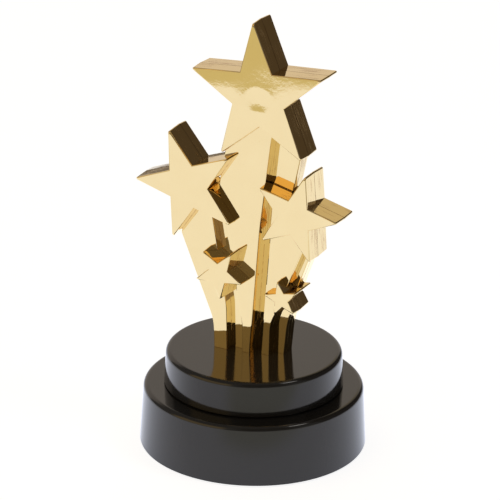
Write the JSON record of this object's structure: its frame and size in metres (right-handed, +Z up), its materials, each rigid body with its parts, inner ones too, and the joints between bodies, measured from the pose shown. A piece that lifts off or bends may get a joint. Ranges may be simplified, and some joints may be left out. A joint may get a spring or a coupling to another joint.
{
  "type": "star trophy",
  "caption": "Free-standing award: a gilt figure of stars on flaring tails, moulded as front and rear half shells, screwed to a round two-tier black base with a weight and a felt foot.",
  "frame": {"origin": "centre of the resting face under the felt pad, on the axis of the round base", "axes": "+Z up along the axis of the base, -Y towards the side the star faces look to, +X towards the right seen from the front"},
  "size_m": [0.0794, 0.076, 0.1489],
  "materials": {
    "figure_gilt": "bright vacuum-metallised gold over moulded plastic, mirror-like with slight waviness",
    "base_plastic": "polished black moulded plastic",
    "weight_iron": "rough as-cast disc, unpainted",
    "screw_steel": "bright zinc plating",
    "closing_board": "matt grey fibreboard",
    "foot_felt": "short black felt nap"
  },
  "bodies": {
    "root": {"base_lower_tier": "base_plastic", "base_upper_tier": "base_plastic", "base_weight": "weight_iron", "closing_plate": "closing_board", "felt_pad": "foot_felt", "figure_front_shell": "figure_gilt", "figure_rear_shell": "figure_gilt", "figure_screw": "screw_steel", "screw_washer": "screw_steel"}
  },
  "joints": []
}
